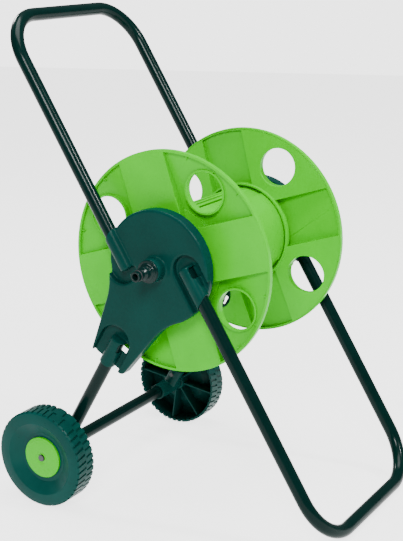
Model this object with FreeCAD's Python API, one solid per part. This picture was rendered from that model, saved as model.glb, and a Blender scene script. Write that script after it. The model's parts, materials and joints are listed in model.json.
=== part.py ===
import FreeCAD, Part
import math
import os

# Garden hose reel cart. Millimetres and degrees, +Z up.
#
# Everything is first modelled about the centre of the reel: X runs along the reel's axis,
# -Y is the front, where the foot tube stands, and +Y is the back, where the wheels and the
# person are. The inlet is on the -X side and the crank on the +X side. main() then moves
# each piece so that the origin is on the floor, under the middle of the cart's box.
# Pieces that are alike on both sides are modelled on +X and mirrored.

# ---------------------------------------------------------------- driving dimensions
REEL_HEIGHT = 384.0         # floor to the reel's axis
REEL_HALF = 118.5           # reel centre to a flange's outer face
FLANGE_R = 165.0
BARREL_R = 75.0
PLATE_R = 85.2
TUBE_R = 10.0
WHEEL_R = 76.3
WHEEL_WIDTH = 38.4
AXLE_BACK = 191.4           # reel axis to the wheel axle, towards the back
HANDLE_REACH = 429.7        # along the slope, reel axis to the middle of the handle bar
TUBE_SLOPE = 60.44          # handle and foot tubes against the floor
CRANK_LENGTH = 110.0
SPIGOT_TUBE_R = 7.5         # fixed water tube that the reel turns on
NIPPLE_R = 7.6              # quick-connect nipple

# running and sliding clearances
RUN = 0.05                  # radial, between a journal or an axle and its bore
GAP = 0.6                   # between pieces that turn past each other

# reel flanges
RIM_LIP = 7.9               # axial width of the rim
RIM_T = 4.0
WEB_T = 2.5
WEB_DISH = 11.6             # the web lies this much further in at the barrel than at the rim
BAND_ANGLE = 74.2           # first of the four raised bands, from +Y towards +Z
BAND_HALF = 40.0
HOLE_MARGIN = 11.25         # from a hand hole to the rim and to the collar
HOLE_COLLAR_T = 3.0
HOLE_COLLAR_TOP = 4.5       # the hole's collar stops this far below the bands' outer face
GUSSET_LENGTH = 7.0
GUSSET_T = 1.6
GUSSET_TURNS = (-17.0, 0.0, 17.0)
HUB_STEP = 4.0              # the hub disc lies this much further out than the web's inner edge
COLLAR_T = 4.0
COLLAR_DEPTH = 8.0          # the collar covers this much of the barrel's end
STUB_T = 5.0
SHOULDER_T = 6.0

# barrel
PANEL_T = 2.5
PANEL_HALF_ANGLE = 46.0
COLLAR_GAP = 0.5
SLOT_W = 4.5
SLOT_END = 41.0             # from a slot's end to the hub disc
SLOT_PITCH = 9.0            # degrees
SLOTS = 7
TIE_AT = 46.0               # reel axis to each tie bolt
TIE_R = 2.5
TIE_SLEEVE_T = 3.5
TIE_HEAD_R = 4.6
TIE_HEAD_H = 3.5

# frame tubes
TUBE_WALL = 1.2
TUBE_OFFSET = 45.4          # reel axis to the handle tube's line and to the foot tube's line
TUBE_SINK = 3.1             # the tubes' centre lines lie this far behind the plate's face
BEND_R = 70.0

# side plates
PLATE_GAP = 17.5            # flange's outer face to the plate's inner edge
PLATE_DEPTH = 19.5
PLATE_T = 3.0
POCKET_DEPTH = 9.5
FLOOR_T = 2.5
SOCKET_T = 2.0
BLIND_T = 4.8               # wall that closes a socket's inner end
SOCKET_STEP = 19.2          # reel axis to the blind ends of the handle and foot sockets
SOCKET_PROUD = 2.8          # the sockets' mouths reach this far past the disc
POCKET_SIDE = 0.4           # room beside the handle socket, towards the reel's axis
POCKET_FAR = 22.1           # and on its other side
POCKET_END = 18.0           # the pocket runs this far past the handle socket's end
POCKET_CORNER = 25.0
SMALL_CORNER = 8.0
FOOT_POCKET_ROOM = 10.0
FOOT_POCKET_END = 17.5
LEG_POCKET_ROOM = 14.0
LEG_POCKET_SHIFT = 4.0
LEG_POCKET_END = 16.0
LEG_SOCKET_STEP = 50.8      # disc's edge to the blind end of the leg socket
LEG_SOCKET_LENGTH = 48.0
LOBE_ROOT_STEP = 12.8       # disc's edge to the widest point of the lobe's straight sides
LOBE_FLARE = 14.0           # the lobe is wider there by this much, on each side
LOBE_EDGE = 3.0
LOBE_BLEND_ANGLE = 58.0     # where the lobe's fillet leaves the disc
LOBE_SAG = 0.072            # depth of that fillet as a share of its chord
WINDOW_LENGTH = 16.5
WINDOW_DEPTH = 14.4
WINDOW_SINK = 1.5           # the foot socket's window goes this far into the pocket's floor
LEG_WINDOW_LENGTH = 16.0
LEG_WINDOW_DEPTH = 9.5
LEG_WINDOW_LAP = 4.0        # the leg socket's window cuts this far into its sleeve
BUSH_T = 2.95
RING_T = 3.0
RING_PROUD = 8.0            # the bearing ring stands out of the plate's inner edge
PLATE_RIBS = 5
RIB_T = 2.0
RIB_PITCH = 30.0            # degrees
RIB_DEPTH = 11.5

# inlet and outlet nipples, and the seal between the inlet and the reel
BORE_STEP = 2.8             # nipple's radius less its bore's
WAIST_STEP = 1.2
LATCH_STEP = 2.4
GROOVE_STEP = 1.3
NIPPLE_LENGTH = 30.0
NIPPLE_CHAMFER = 0.8
NIPPLE_STEPS = (20.5, 18.0, 15.5, 11.0, 8.0, 5.8)   # latch, waist and seal groove, from the tip
NIPPLE_COLLAR_T = 4.0
NIPPLE_SEAL_PROUD = 0.6
COLLAR_STEP = 4.5           # nipple's collar over its shank
SHANK_STEP = 4.0            # the shank is this much thinner than the reel's journal
BOSS_T = 5.5
BOSS_LENGTH = 17.5
NUT_T = 6.5
NUT_ROOM = 1.68             # between the nut's corners and the bearing ring
STUB_GAP = 2.0              # between the journal's end and the nut
SPIGOT_STEP = 5.0           # hub disc to the inner end of the water tube
SEAL_STEPS = (4.0, 10.0)    # and from that end to each O-ring
SEAL_GROOVE = 1.2
SEAL_ROOM = 1.1
SEAL_SLEEVE_T = 2.4
GROOVE_W = 2.6
ELBOW_BACK = 33.0           # hub disc to the outlet's centre line
ELBOW_STEP = 1.4

# crank
CRANK_ANGLE = -30.0
CRANK_GAP = 3.0
SQUARE_EASE = 0.56
CRANK_HUB_T = 4.0
CRANK_HUB_PROUD = 0.5
CRANK_CAP_T = 4.0
ARM_T = 8.0
ARM_HUB_HALF = 14.0
ARM_TIP_T = 7.0
KNOB_LENGTH = 67.0
KNOB_T = 11.0               # over its pin, at the belly
KNOB_NECK_T = 7.5           # and at the neck
KNOB_FOOT_STEP = 1.5        # the foot, the sides and the top are this much smaller than the belly
KNOB_SIDE_STEP = 1.0
KNOB_TOP_STEP = 4.0
KNOB_FOOT = 3.0
KNOB_NECK_AT = 9.0          # places along the knob, from its foot
KNOB_SIDE_AT = 36.8
KNOB_BELLY_AT = 50.2
KNOB_CROWN = 5.0
PIN_R = 4.0
PIN_HEAD_T = 3.0
PIN_HEAD_H = 3.0
RIVET_T = 2.5
RIVET_H = 2.5
CRANK_SCREW_R = 2.5
CRANK_SCREW_HEAD_R = 6.0
CRANK_SCREW_HEAD_H = 3.5
DRIVE_PIN_R = 2.5

# wheels and axle
WHEEL_T = 3.0
TREAD_T = 4.0
ROD_R = 5.0
CONNECTOR_T = 3.0
CONNECTOR_INWARD = 37.4     # from the wheel leg's centre line
CONNECTOR_OUTWARD = 21.5
AXLE_TUBE_STOP = 4.4
LEG_STEP = 2.0              # connector's sleeve to the lower end of a wheel leg
LEG_SLEEVE = 27.0           # length of a wheel leg in its connector
WASHER_T = 1.5
WASHER_RIM = 7.0
WHEEL_GAP = 0.5
WHEEL_HUB_T = 9.0
DISH_SLOPE = 17.0           # radial width of the cone between the wheel's face and its dish
DISH_DEPTH = 12.3
DISH_ROOM = 6.6
SHOULDER = 2.8
WHEEL_RIBS = 8
WHEEL_RIB_T = 2.5
WHEEL_RIB_TURN = 10.0
CAP_R = 32.4
CAP_T = 1.8
CAP_SKIRT_T = 2.0
CAP_EDGE = 1.0
CAP_FACE = 7.5              # the cap's face lies this far inside the wheel's outer face
PUSH_NUT_RIM = 4.0
PUSH_NUT_T = 1.5
ROD_PROUD = 1.7

# screws that hold the tubes in their sockets
SCREW_R = 1.6
SCREW_HEAD_R = 3.5
SCREW_HEAD_H = 2.3
SCREW_LENGTH = 11.0
SCREW_BOSS_R = 4.5
SCREW_BOSS_H = 1.9
SCREW_FROM_MOUTH = 12.0
CONNECTOR_SCREW_UP = 17.0   # above the lower end of the wheel leg
CONNECTOR_SCREW_IN = 13.0   # from the connector's inner end

# ---------------------------------------------------------------- values that follow
X_AXIS = FreeCAD.Vector(1, 0, 0)
Y_AXIS = FreeCAD.Vector(0, 1, 0)
Z_AXIS = FreeCAD.Vector(0, 0, 1)
CENTRE = FreeCAD.Vector(0, 0, 0)
ODD = 1.0                   # how far a cut runs past the faces that it opens
BANDS = [BAND_ANGLE + 90.0 * k for k in range(4)]
TIES = [band + 45.0 for band in BANDS]

# radii about the reel's axis, from the water tube outwards
SEAL_GROOVE_R = SPIGOT_TUBE_R - SEAL_GROOVE
SEAL_BORE_R = SPIGOT_TUBE_R + SEAL_ROOM
STUB_BORE_R = SEAL_BORE_R + SEAL_SLEEVE_T
STUB_R = STUB_BORE_R + STUB_T
SHOULDER_R = STUB_R + SHOULDER_T
RING_R = STUB_R + RUN + BUSH_T
SHANK_R = STUB_R - SHANK_STEP
BOSS_R = SHANK_R + BOSS_T
NIPPLE_COLLAR_R = SHANK_R + COLLAR_STEP
NIPPLE_BORE_R = NIPPLE_R - BORE_STEP
COLLAR_R = BARREL_R + COLLAR_GAP
COLLAR_OUT_R = COLLAR_R + COLLAR_T
TIE_SLEEVE_R = TIE_R + TIE_SLEEVE_T
HAND_HOLE_AT = (FLANGE_R + COLLAR_OUT_R) / 2.0
HAND_HOLE_R = (FLANGE_R - RIM_T - COLLAR_OUT_R) / 2.0 - HOLE_MARGIN
SQUARE = STUB_BORE_R * math.sqrt(2.0) - SQUARE_EASE
CRANK_HUB_R = STUB_BORE_R + CRANK_HUB_T
ARM_TIP_R = PIN_R + ARM_TIP_T
KNOB_R = PIN_R + KNOB_T
KNOB_NECK_R = PIN_R + KNOB_NECK_T
KNOB_FOOT_R = KNOB_R - KNOB_FOOT_STEP
KNOB_SIDE_R = KNOB_R - KNOB_SIDE_STEP
KNOB_TOP_R = KNOB_R - KNOB_TOP_STEP
PIN_HEAD_R = PIN_R + PIN_HEAD_T
RIVET_R = PIN_R + RIVET_T

# places along X, from the reel's centre outwards
WEB_RIM_IN = REEL_HALF - RIM_LIP
WEB_HUB_IN = WEB_RIM_IN - WEB_DISH
HUB_DISC_IN = WEB_HUB_IN + HUB_STEP
COLLAR_IN = HUB_DISC_IN - COLLAR_DEPTH
SLOT_HALF = HUB_DISC_IN - SLOT_END
ELBOW_AT = HUB_DISC_IN - ELBOW_BACK
SPIGOT_IN = HUB_DISC_IN + SPIGOT_STEP
SEAL_PLACES = [SPIGOT_IN + step for step in SEAL_STEPS]
DRIVE_PIN_AT = REEL_HALF + 2.0 * DRIVE_PIN_R
PLATE_IN = REEL_HALF + PLATE_GAP
PLATE_OUT = PLATE_IN + PLATE_DEPTH
PLATE_FACE_IN = PLATE_OUT - PLATE_T
RING_IN = PLATE_IN - RING_PROUD
SHOULDER_END = RING_IN - GAP
NUT_IN = PLATE_FACE_IN - NUT_T
STUB_END = NUT_IN - STUB_GAP
POCKET_FLOOR = PLATE_OUT - POCKET_DEPTH
BOSS_END = PLATE_OUT + BOSS_LENGTH
NIPPLE_START = BOSS_END + NIPPLE_COLLAR_T
SPIGOT_END = NIPPLE_START + NIPPLE_LENGTH
FRAME_X = PLATE_OUT - TUBE_SINK
SOCKET_R = TUBE_R + SOCKET_T
SOCKET_IN = FRAME_X - SOCKET_R
SOCKET_OUT = FRAME_X + SOCKET_R
CRANK_HUB_IN = PLATE_OUT + CRANK_GAP
ARM_IN = SOCKET_OUT + RIVET_H + GAP
ARM_OUT = ARM_IN + ARM_T
CRANK_HUB_END = ARM_OUT + CRANK_HUB_PROUD
CRANK_SHAFT_END = CRANK_HUB_END - CRANK_CAP_T
KNOB_IN = ARM_OUT + GAP
KNOB_END = KNOB_IN + KNOB_LENGTH
CONNECTOR_IN = FRAME_X - CONNECTOR_INWARD
CONNECTOR_OUT = FRAME_X + CONNECTOR_OUTWARD
AXLE_TUBE_END = FRAME_X - AXLE_TUBE_STOP
CONNECTOR_SCREW_X = CONNECTOR_IN + CONNECTOR_SCREW_IN
WHEEL_IN = CONNECTOR_OUT + WASHER_T + WHEEL_GAP
WHEEL_OUT = WHEEL_IN + WHEEL_WIDTH
DISH_FLOOR = WHEEL_OUT - DISH_DEPTH
CAP_OUT = WHEEL_OUT - CAP_FACE
CAP_IN = CAP_OUT - CAP_T
PUSH_NUT_IN = CAP_IN - WHEEL_GAP - PUSH_NUT_T
WHEEL_HUB_END = PUSH_NUT_IN - WHEEL_GAP
ROD_END = CAP_OUT + ROD_PROUD

# side plate, in the plane of the reel
LEG_SOCKET_END = PLATE_R + LEG_SOCKET_STEP
LOBE_LENGTH = LEG_SOCKET_END + LEG_SOCKET_LENGTH
LOBE_ROOT = PLATE_R + LOBE_ROOT_STEP
LEG_POCKET_HALF = SOCKET_R + LEG_POCKET_ROOM
LOBE_TIP_HALF = LEG_POCKET_HALF + LEG_POCKET_SHIFT + LOBE_EDGE
LOBE_ROOT_HALF = LOBE_TIP_HALF + LOBE_FLARE
FOOT_POCKET_HALF = SOCKET_R + FOOT_POCKET_ROOM
SOCKET_MOUTH_R = PLATE_R + SOCKET_PROUD
TUBE_STEP = SOCKET_STEP + BLIND_T
LEG_TUBE_TOP = LEG_SOCKET_END + BLIND_T
TUBE_SCREW_AT = math.sqrt(PLATE_R ** 2 - TUBE_OFFSET ** 2) - SCREW_FROM_MOUTH
LEG_SCREW_AT = LOBE_LENGTH - SCREW_FROM_MOUTH

# tubes and axle, in the plane of the reel
SLOPE_TURN = 180.0 + TUBE_SLOPE
SLOPE_SIN = math.sin(math.radians(TUBE_SLOPE))
SLOPE_COS = math.cos(math.radians(TUBE_SLOPE))
FOOT_REACH = (REEL_HEIGHT - TUBE_R + SLOPE_COS * TUBE_OFFSET) / SLOPE_SIN
AXLE_DOWN = REEL_HEIGHT - WHEEL_R
AXLE_AT = math.hypot(AXLE_BACK, AXLE_DOWN)
LEG_TURN = -math.degrees(math.atan2(AXLE_DOWN, AXLE_BACK))
CONNECTOR_R = TUBE_R + CONNECTOR_T
LEG_TUBE_END = AXLE_AT - CONNECTOR_R - LEG_STEP
LEG_SLEEVE_MOUTH = LEG_TUBE_END - LEG_SLEEVE
LOW_SCREW_AT = LEG_TUBE_END - CONNECTOR_SCREW_UP
WHEEL_HUB_R = ROD_R + WHEEL_HUB_T
DISH_FLOOR_R = CAP_R + DISH_ROOM
DISH_R = DISH_FLOOR_R + DISH_SLOPE


# ---------------------------------------------------------------- helpers
def rod(radius, x0, x1, y=0.0, z=0.0):
    """A cylinder along X."""
    return Part.makeCylinder(radius, x1 - x0, FreeCAD.Vector(x0, y, z), X_AXIS)


def ring(outer, inner, x0, x1, y=0.0, z=0.0):
    """A tube along X."""
    return rod(outer, x0, x1, y, z).cut(rod(inner, x0 - ODD, x1 + ODD, y, z))


def along(radius, start, end, x, side):
    """A cylinder along +Y at the given x and z, for turning onto a tube's line."""
    return Part.makeCylinder(radius, end - start, FreeCAD.Vector(x, start, side), Y_AXIS)


def block(x0, x1, y0, y1, z0, z1):
    return Part.makeBox(x1 - x0, y1 - y0, z1 - z0, FreeCAD.Vector(x0, y0, z0))


def turn(shape, angle):
    """A copy of the shape, turned about the reel's axis."""
    copy = shape.copy()
    copy.rotate(CENTRE, X_AXIS, angle)
    return copy


def shift(shape, x=0.0, y=0.0, z=0.0):
    copy = shape.copy()
    copy.translate(FreeCAD.Vector(x, y, z))
    return copy


def mirrored(shape):
    return shape.mirror(CENTRE, X_AXIS)


def turned(profile):
    """A solid of revolution about X, from (radius, x) corners."""
    corners = [FreeCAD.Vector(x, 0, radius) for radius, x in profile]
    face = Part.Face(Part.makePolygon(corners + [corners[0]]))
    return face.revolve(CENTRE, X_AXIS, 360.0)


def fuse(shapes):
    whole = shapes[0].multiFuse(shapes[1:])
    return whole.removeSplitter()


def rounded_slot(start, end, low, high, corner_low, corner_high, x0, x1):
    """A prism along X: a strip from start to end in Y, whose corners at its start are round."""
    way = math.copysign(1.0, end - start)
    a = FreeCAD.Vector(x0, end, low)
    b = FreeCAD.Vector(x0, start + way * corner_low, low)
    c = FreeCAD.Vector(x0, start, low + corner_low)
    d = FreeCAD.Vector(x0, start, high - corner_high)
    e = FreeCAD.Vector(x0, start + way * corner_high, high)
    f = FreeCAD.Vector(x0, end, high)
    bow = 1.0 - math.sqrt(0.5)
    low_mid = FreeCAD.Vector(x0, start + way * bow * corner_low, low + bow * corner_low)
    high_mid = FreeCAD.Vector(x0, start + way * bow * corner_high, high - bow * corner_high)
    edges = [Part.makeLine(a, b), Part.Arc(b, low_mid, c).toShape()]
    if d.sub(c).Length > 1e-6:
        edges.append(Part.makeLine(c, d))
    edges += [Part.Arc(d, high_mid, e).toShape(), Part.makeLine(e, f), Part.makeLine(f, a)]
    return Part.Face(Part.Wire(edges)).extrude(FreeCAD.Vector(x1 - x0, 0, 0))


def hexagon(flats, x0, x1):
    corner = flats / math.sqrt(3.0)
    points = []
    for k in range(7):
        angle = math.radians(60.0 * k)
        points.append(FreeCAD.Vector(x0, corner * math.cos(angle), corner * math.sin(angle)))
    return Part.Face(Part.makePolygon(points)).extrude(FreeCAD.Vector(x1 - x0, 0, 0))


def o_ring(x, groove_r, outer_r):
    section = (outer_r - groove_r) / 2.0
    return Part.makeTorus(groove_r + section, section, FreeCAD.Vector(x, 0, 0), X_AXIS)


def screw(x, y, z, length=SCREW_LENGTH):
    """A pan-head screw that points along +X, with its head's underside at x."""
    head = rod(SCREW_HEAD_R, x - SCREW_HEAD_H, x, y, z)
    return head.fuse(rod(SCREW_R, x, x + length, y, z))


# ---------------------------------------------------------------- frame tubes
def bent_tube(first, bar, side):
    """A U of tube in the plane z = side: two legs from Y = first to a cross bar at Y = bar."""
    way = math.copysign(1.0, bar - first)
    bend = bar - way * BEND_R
    bow = BEND_R * (1.0 - math.sqrt(0.5))
    p = [(-FRAME_X, first), (-FRAME_X, bend), (-FRAME_X + bow, bar - way * bow), (-FRAME_X + BEND_R, bar)]
    left = [FreeCAD.Vector(x, y, side) for x, y in p]
    right = [FreeCAD.Vector(-x, y, side) for x, y in p]
    path = Part.Wire([
        Part.makeLine(left[0], left[1]),
        Part.Arc(left[1], left[2], left[3]).toShape(),
        Part.makeLine(left[3], right[3]),
        Part.Arc(right[3], right[2], right[1]).toShape(),
        Part.makeLine(right[1], right[0]),
    ])
    skins = []
    for radius in (TUBE_R, TUBE_R - TUBE_WALL):
        section = Part.Wire(Part.makeCircle(radius, left[0], Y_AXIS))
        skins.append(path.makePipeShell([section], True, True))
    return skins[0].cut(skins[1])


def straight_tube(start, end, x, side):
    bore = along(TUBE_R - TUBE_WALL, start - ODD, end + ODD, x, side)
    return along(TUBE_R, start, end, x, side).cut(bore)


def screw_bore(at, side):
    """The hole for one socket screw, through the tube's inner wall only."""
    return rod(SCREW_R, SOCKET_IN - SCREW_BOSS_H - ODD, FRAME_X, at, side)


def handle_tube():
    tube = bent_tube(-TUBE_STEP, -HANDLE_REACH, TUBE_OFFSET)
    hole = screw_bore(-TUBE_SCREW_AT, TUBE_OFFSET)
    return turn(tube.cut(hole).cut(mirrored(hole)), SLOPE_TURN)


def foot_tube():
    tube = bent_tube(TUBE_STEP, FOOT_REACH, -TUBE_OFFSET)
    hole = screw_bore(TUBE_SCREW_AT, -TUBE_OFFSET)
    return turn(tube.cut(hole).cut(mirrored(hole)), SLOPE_TURN)


def leg_tube():
    tube = straight_tube(LEG_TUBE_TOP, LEG_TUBE_END, FRAME_X, 0.0)
    for at in (LEG_SCREW_AT, LOW_SCREW_AT):
        tube = tube.cut(screw_bore(at, 0.0))
    return turn(tube, LEG_TURN)


# ---------------------------------------------------------------- side plates
def plate_outline():
    """The disc with its lobe, as a face in the plane x = 0; the lobe points along +Y."""
    blend = math.radians(LOBE_BLEND_ANGLE)
    a = FreeCAD.Vector(0, PLATE_R * math.cos(blend), PLATE_R * math.sin(blend))
    b = FreeCAD.Vector(0, LOBE_ROOT, LOBE_ROOT_HALF)
    chord = b.sub(a)
    inward = FreeCAD.Vector(0, chord.z, -chord.y)
    middle = a.add(b).multiply(0.5).add(inward.multiply(LOBE_SAG))
    c = FreeCAD.Vector(0, LOBE_LENGTH - SMALL_CORNER, LOBE_TIP_HALF)
    d = FreeCAD.Vector(0, LOBE_LENGTH, LOBE_TIP_HALF - SMALL_CORNER)
    bow = SMALL_CORNER * (1.0 - math.sqrt(0.5))
    corner = FreeCAD.Vector(0, LOBE_LENGTH - bow, LOBE_TIP_HALF - bow)

    def low(point):
        return FreeCAD.Vector(0, point.y, -point.z)

    return Part.Face(Part.Wire([
        Part.Arc(low(a), FreeCAD.Vector(0, -PLATE_R, 0), a).toShape(),
        Part.Arc(a, middle, b).toShape(),
        Part.makeLine(b, c),
        Part.Arc(c, corner, d).toShape(),
        Part.makeLine(d, low(d)),
        Part.Arc(low(d), low(corner), low(c)).toShape(),
        Part.makeLine(low(c), low(b)),
        Part.Arc(low(b), low(middle), low(a)).toShape(),
    ]))


def plate_prism(inset, x0, x1):
    face = plate_outline()
    if inset:
        face = face.makeOffset2D(-inset)
    solid = face.extrude(FreeCAD.Vector(x1 - x0, 0, 0))
    return turn(shift(solid, x=x0), LEG_TURN)


def pockets(margin, x0, x1):
    """The three recesses round the sockets, made larger by margin."""
    far = 2.0 * LOBE_LENGTH
    handle = rounded_slot(
        -SOCKET_STEP + POCKET_END + margin, -far,
        TUBE_OFFSET - SOCKET_R - POCKET_SIDE - margin, TUBE_OFFSET + SOCKET_R + POCKET_FAR + margin,
        SMALL_CORNER + margin, POCKET_CORNER + margin, x0, x1)
    foot_half = FOOT_POCKET_HALF + margin
    foot = rounded_slot(
        SOCKET_STEP - FOOT_POCKET_END - margin, far,
        -TUBE_OFFSET - foot_half, -TUBE_OFFSET + foot_half, foot_half, foot_half, x0, x1)
    leg_half = LEG_POCKET_HALF + margin
    leg = rounded_slot(
        LEG_SOCKET_END - LEG_POCKET_END - margin, far,
        LEG_POCKET_SHIFT - leg_half, LEG_POCKET_SHIFT + leg_half, leg_half, leg_half, x0, x1)
    return [turn(handle, SLOPE_TURN), turn(foot, SLOPE_TURN), turn(leg, LEG_TURN)]


def sockets(radius, leg_start, step, mouth):
    """Cylinders on the lines of the three tubes: the sleeves, or their bores."""
    reach = PLATE_R * 2.0
    handle = turn(along(radius, -reach, -step, FRAME_X, TUBE_OFFSET), SLOPE_TURN)
    foot = turn(along(radius, step, reach, FRAME_X, -TUBE_OFFSET), SLOPE_TURN)
    leg = turn(along(radius, leg_start, mouth, FRAME_X, 0.0), LEG_TURN)
    return handle, foot, leg


def socket_screw_places():
    """The (along, side, turn) of each plate's three screws."""
    return [
        (-TUBE_SCREW_AT, TUBE_OFFSET, SLOPE_TURN),
        (TUBE_SCREW_AT, -TUBE_OFFSET, SLOPE_TURN),
        (LEG_SCREW_AT, 0.0, LEG_TURN),
    ]


def windows():
    """The latch windows beside the foot and leg sockets. The leg's goes through the floor."""
    top = SOCKET_OUT + ODD
    foot_x = POCKET_FLOOR - WINDOW_SINK
    foot_y = SOCKET_STEP + FLOOR_T
    foot_z = -TUBE_OFFSET - FOOT_POCKET_HALF
    foot = block(foot_x, top, foot_y, foot_y + WINDOW_LENGTH, foot_z, foot_z + WINDOW_DEPTH)
    leg_x = POCKET_FLOOR - FLOOR_T - ODD
    leg_y = LEG_SOCKET_END + FLOOR_T
    leg_z = -SOCKET_R - LEG_WINDOW_DEPTH + LEG_WINDOW_LAP
    leg = block(leg_x, top, leg_y, leg_y + LEG_WINDOW_LENGTH, leg_z, leg_z + LEG_WINDOW_DEPTH)
    return [turn(foot, SLOPE_TURN), turn(leg, LEG_TURN)]


def plate_ribs():
    """Ribs behind the plate's face, from the bearing ring to the rim wall."""
    x0 = PLATE_FACE_IN - RIB_DEPTH
    rib = block(x0, PLATE_FACE_IN, RING_R + ODD, PLATE_R - PLATE_T / 2.0, -RIB_T / 2.0, RIB_T / 2.0)
    first = LEG_TURN + 180.0 - RIB_PITCH * (PLATE_RIBS - 1) / 2.0
    return [turn(rib, first + RIB_PITCH * k) for k in range(PLATE_RIBS)]


def side_plate(inlet):
    """One side plate: with the inlet's boss, or with the crank shaft's hole."""
    body = plate_prism(0.0, PLATE_IN, PLATE_OUT)
    void = plate_prism(PLATE_T, PLATE_IN - ODD, PLATE_FACE_IN)
    void = void.cut(fuse(pockets(FLOOR_T, POCKET_FLOOR - FLOOR_T, PLATE_OUT + ODD)))
    shell = fuse([body.cut(void), rod(RING_R + RING_T, RING_IN, PLATE_FACE_IN)] + plate_ribs())
    shell = shell.cut(fuse(pockets(0.0, POCKET_FLOOR, PLATE_OUT + ODD)))
    handle, foot, leg = sockets(SOCKET_R, LEG_SOCKET_END, SOCKET_STEP, LOBE_LENGTH)
    mouth = rod(SOCKET_MOUTH_R, SOCKET_IN - ODD, SOCKET_OUT + ODD)
    pieces = [shell, handle.common(mouth), foot.common(mouth), leg]
    for at, side, angle in socket_screw_places():
        boss = rod(SCREW_BOSS_R, SOCKET_IN - SCREW_BOSS_H, FRAME_X, at, side)
        pieces.append(turn(boss, angle))
    if inlet:
        pieces.append(rod(BOSS_R, PLATE_FACE_IN, BOSS_END))
        opening = rod(SHANK_R, RING_IN, BOSS_END + ODD)
    else:
        opening = rod(STUB_BORE_R + GAP, RING_IN, PLATE_OUT + ODD)
    plate = fuse(pieces)
    plate = plate.cut(rod(RING_R, RING_IN - ODD, PLATE_FACE_IN)).cut(opening)
    for bore in sockets(TUBE_R, LEG_TUBE_TOP, TUBE_STEP, LOBE_LENGTH + ODD):
        plate = plate.cut(bore)
    for at, side, angle in socket_screw_places():
        plate = plate.cut(turn(screw_bore(at, side), angle))
    for window in windows():
        plate = plate.cut(window)
    return plate.removeSplitter()


def socket_screws():
    screws = []
    for at, side, angle in socket_screw_places():
        screws.append(turn(screw(SOCKET_IN - SCREW_BOSS_H, at, side), angle))
    return screws


def hub_bush():
    return ring(RING_R, STUB_R + RUN, RING_IN, STUB_END)


# ---------------------------------------------------------------- reel
def web_line(radius):
    """The x of the web's inner face at a radius."""
    share = (radius - BARREL_R) / (FLANGE_R - BARREL_R)
    return WEB_HUB_IN + (WEB_RIM_IN - WEB_HUB_IN) * share


def band_strips(half, reach, x0, x1):
    """The two crossing strips that the four bands lie in."""
    strip = block(x0, x1, -reach, reach, -half, half)
    return turn(strip, BANDS[0]).fuse(turn(strip, BANDS[1]))


def rim_gussets():
    """Small ribs between the rim and the web, three in each sector between the bands."""
    outer = FLANGE_R - RIM_T / 2.0
    inner = outer - GUSSET_LENGTH
    half = GUSSET_T / 2.0
    rib = block(web_line(inner), REEL_HALF - RIM_LIP / 4.0, inner, outer, -half, half)
    return [turn(rib, angle + offset) for angle in TIES for offset in GUSSET_TURNS]


def reel_flange():
    web_out = FLANGE_R - RIM_T / 2.0
    hub_out = HUB_DISC_IN + WEB_T
    top_in = REEL_HALF - WEB_T
    web = turned([
        (COLLAR_R, web_line(COLLAR_R)), (web_out, web_line(web_out)),
        (web_out, web_line(web_out) + WEB_T), (COLLAR_R, web_line(COLLAR_R) + WEB_T),
    ])
    envelope = turned([
        (STUB_R - ODD, HUB_DISC_IN), (COLLAR_R, HUB_DISC_IN), (COLLAR_R, web_line(COLLAR_R)),
        (web_out, web_line(web_out)), (web_out, REEL_HALF), (STUB_R - ODD, REEL_HALF),
    ])
    pieces = [
        ring(FLANGE_R, FLANGE_R - RIM_T, WEB_RIM_IN, REEL_HALF),
        web,
        ring(COLLAR_OUT_R, COLLAR_R, COLLAR_IN, hub_out),
        ring(COLLAR_R + ODD, STUB_BORE_R, HUB_DISC_IN, hub_out),
        ring(SHOULDER_R, STUB_BORE_R, HUB_DISC_IN, SHOULDER_END),
        ring(STUB_R, STUB_BORE_R, HUB_DISC_IN, STUB_END),
        band_strips(BAND_HALF, FLANGE_R, WEB_HUB_IN - ODD, REEL_HALF).common(envelope),
    ]
    collar_r = HAND_HOLE_R + HOLE_COLLAR_T
    collar = rod(collar_r, WEB_HUB_IN, REEL_HALF - HOLE_COLLAR_TOP, HAND_HOLE_AT, 0.0)
    for angle in TIES:
        pieces.append(turn(collar, angle).common(envelope))
    pieces += rim_gussets()
    flange = fuse(pieces)
    hollow = turned([
        (SHOULDER_R, hub_out), (COLLAR_OUT_R, hub_out), (COLLAR_OUT_R, COLLAR_IN - ODD),
        (FLANGE_R - RIM_T, COLLAR_IN - ODD), (FLANGE_R - RIM_T, top_in), (SHOULDER_R, top_in),
    ])
    hollow = hollow.common(band_strips(BAND_HALF - WEB_T, FLANGE_R, COLLAR_IN - 2 * ODD, top_in))
    for angle in TIES:
        hollow = hollow.cut(turn(rod(TIE_SLEEVE_R, hub_out - ODD, top_in + ODD, TIE_AT, 0.0), angle))
    flange = flange.cut(hollow)
    for angle in TIES:
        hole = rod(HAND_HOLE_R, WEB_HUB_IN - ODD, REEL_HALF, HAND_HOLE_AT, 0.0)
        flange = flange.cut(turn(hole, angle))
        flange = flange.cut(turn(rod(TIE_R, HUB_DISC_IN - ODD, REEL_HALF + ODD, TIE_AT, 0.0), angle))
    return flange.removeSplitter()


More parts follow.
